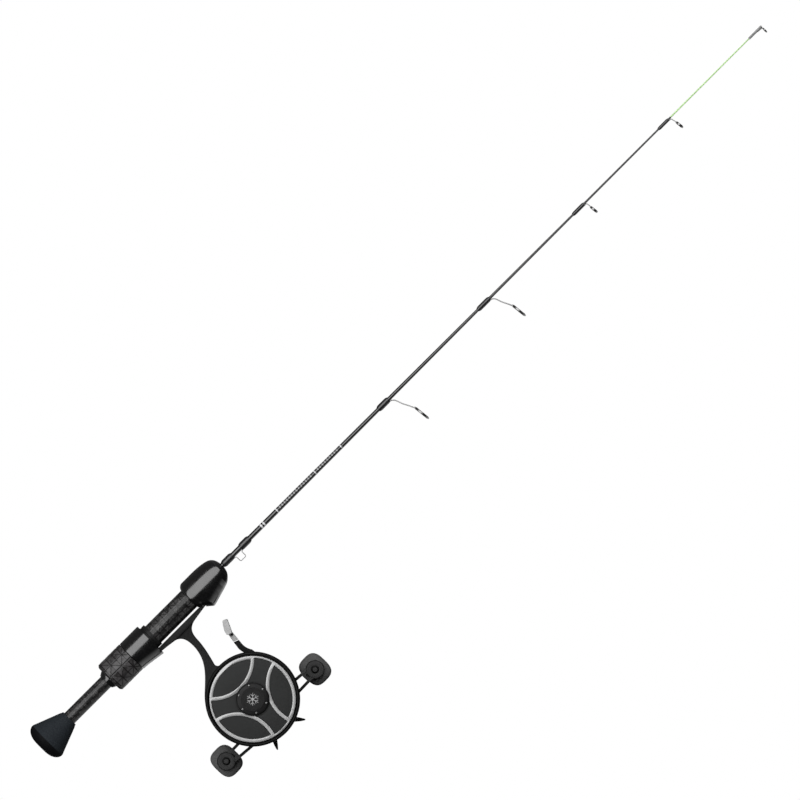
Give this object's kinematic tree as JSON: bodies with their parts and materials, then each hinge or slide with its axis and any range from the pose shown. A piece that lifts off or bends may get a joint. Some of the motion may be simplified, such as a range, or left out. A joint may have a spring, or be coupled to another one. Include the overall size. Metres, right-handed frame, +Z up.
{
  "type": "ice fishing rod and inline reel",
  "caption": "Short ice-fishing rod with a hanging inline reel, two-knob crank, star drag and free-fall trigger.",
  "frame": {"origin": "on the rod's axis, straight above the spool's axis, in the middle of the reel seat", "axes": "+X along the rod from butt to tip, +Z up away from the hanging reel, +Y towards the crank side"},
  "size_m": [0.7364, 0.0621, 0.1377],
  "materials": {
    "blank": "gloss clear coat over dark carbon fibre",
    "tip": "gloss chartreuse paint on glass fibre",
    "steel": "fine polished stainless steel",
    "ceramic": "polished black ceramic",
    "thread": "black winding thread under clear epoxy",
    "gloss_black": "piano-black moulding or paint",
    "satin_black": "satin black moulding",
    "forged_carbon": "marbled short-fibre carbon under clear coat",
    "rubber": "matte black rubber",
    "satin_frame": "satin dark grey coating on aluminium",
    "spool_grey": "fine bead-blasted dark grey anodised aluminium",
    "silver": "satin silver anodised aluminium",
    "brass": "cut brass",
    "friction": "woven friction material",
    "knob": "soft-touch dark grey moulding"
  },
  "bodies": {
    "rod": {"rod_blank": "blank", "quick_tip": "tip", "tip_guide_frame": "steel", "tip_guide_ring": "ceramic", "guide_1_frame": "steel", "guide_1_ring": "ceramic", "guide_1_wrap": "thread", "guide_2_frame": "steel", "guide_2_ring": "ceramic", "guide_2_wrap": "thread", "guide_3_frame": "steel", "guide_3_ring": "ceramic", "guide_3_wrap": "thread", "guide_4_frame": "steel", "guide_4_ring": "ceramic", "guide_4_wrap": "thread", "hook_keeper": "steel", "keeper_wrap_rear": "thread", "keeper_wrap_front": "thread", "fore_grip": "gloss_black", "seat_barrel": "forged_carbon", "rear_collar": "gloss_black", "rear_grip_tube": "forged_carbon", "butt_cap": "rubber", "reel_frame": "satin_frame", "rim_ring": "satin_black", "gear_cover": "satin_frame", "cover_screw_1": "steel", "cover_screw_2": "steel", "cover_screw_3": "steel", "plate_bearing": "steel", "cover_bearing": "steel", "roller_clutch": "steel", "trigger_pin": "steel", "trigger_spring": "steel"},
    "hood": {"sliding_hood": "gloss_black", "hood_sleeve": "satin_black"},
    "nut": {"lock_nut": "forged_carbon"},
    "spool": {"spool": "spool_grey", "face_trim": "silver", "spool_shaft": "steel", "drive_pin": "steel"},
    "dial": {"drop_dial": "satin_black"},
    "pinion": {"pinion_gear": "brass"},
    "yoke": {"clutch_yoke": "steel"},
    "trigger": {"trigger_lever": "satin_frame", "trigger_paddle": "silver", "trigger_rivet": "satin_frame"},
    "crank": {"crank_shaft": "steel", "main_gear": "brass", "carbon_washer": "friction", "steel_washer": "steel", "spring_washer": "steel", "crank_bar": "satin_frame", "crank_nut": "gloss_black", "knob_post_front": "satin_frame", "knob_post_rear": "satin_frame"},
    "star": {"star_drag": "gloss_black"},
    "front_knob": {"knob_front": "knob"},
    "rear_knob": {"knob_rear": "knob"}
  },
  "joints": [
    {"name": "crank_spin", "type": "hinge", "parent": "rod", "child": "crank", "pos_m": [0, 0, -0.10155], "axis": [0, 1, 0], "continuous": true},
    {"name": "spool_spin", "type": "hinge", "parent": "rod", "child": "spool", "pos_m": [0, 0, -0.0837], "axis": [0, 1, 0], "continuous": true},
    {"name": "dial_turn", "type": "hinge", "parent": "spool", "child": "dial", "pos_m": [0, 0, -0.0837], "axis": [0, 1, 0], "range_deg": [0, 300]},
    {"name": "trigger_pull", "type": "hinge", "parent": "rod", "child": "trigger", "pos_m": [0.023, 0, -0.0672], "axis": [0, -1, 0], "range_deg": [0, 14], "stiffness_Nm_per_rad": 0.15, "springref_deg": -20.05},
    {"name": "yoke_shift", "type": "slide", "parent": "rod", "child": "yoke", "axis": [0, 1, 0], "range_m": [0, 0.0014]},
    {"name": "pinion_shift", "type": "slide", "parent": "spool", "child": "pinion", "axis": [0, 1, 0], "range_m": [0, 0.0014]},
    {"name": "star_turn", "type": "hinge", "parent": "crank", "child": "star", "pos_m": [0, 0, -0.10155], "axis": [0, 1, 0], "range_deg": [-180, 180]},
    {"name": "front_knob_spin", "type": "hinge", "parent": "crank", "child": "front_knob", "pos_m": [0.04619, 0, -0.10074], "axis": [0, 1, 0], "continuous": true},
    {"name": "rear_knob_spin", "type": "hinge", "parent": "crank", "child": "rear_knob", "pos_m": [-0.04619, 0, -0.10236], "axis": [0, 1, 0], "continuous": true},
    {"name": "hood_slide", "type": "slide", "parent": "rod", "child": "hood", "axis": [-1, 0, 0], "range_m": [0, 0.009]},
    {"name": "nut_turn", "type": "hinge", "parent": "hood", "child": "nut", "pos_m": [-0.0516, 0, 0], "axis": [1, 0, 0], "range_deg": [0, 1621]}
  ],
  "couplings": [
    {"joint": "spool_spin", "follows": "crank_spin", "ratio": -2.6429},
    {"joint": "yoke_shift", "follows": "trigger_pull", "m_per_rad": 0.0055},
    {"joint": "pinion_shift", "follows": "trigger_pull", "m_per_rad": 0.0055},
    {"joint": "nut_turn", "follows": "hood_slide", "rad_per_m": 3141.6}
  ]
}
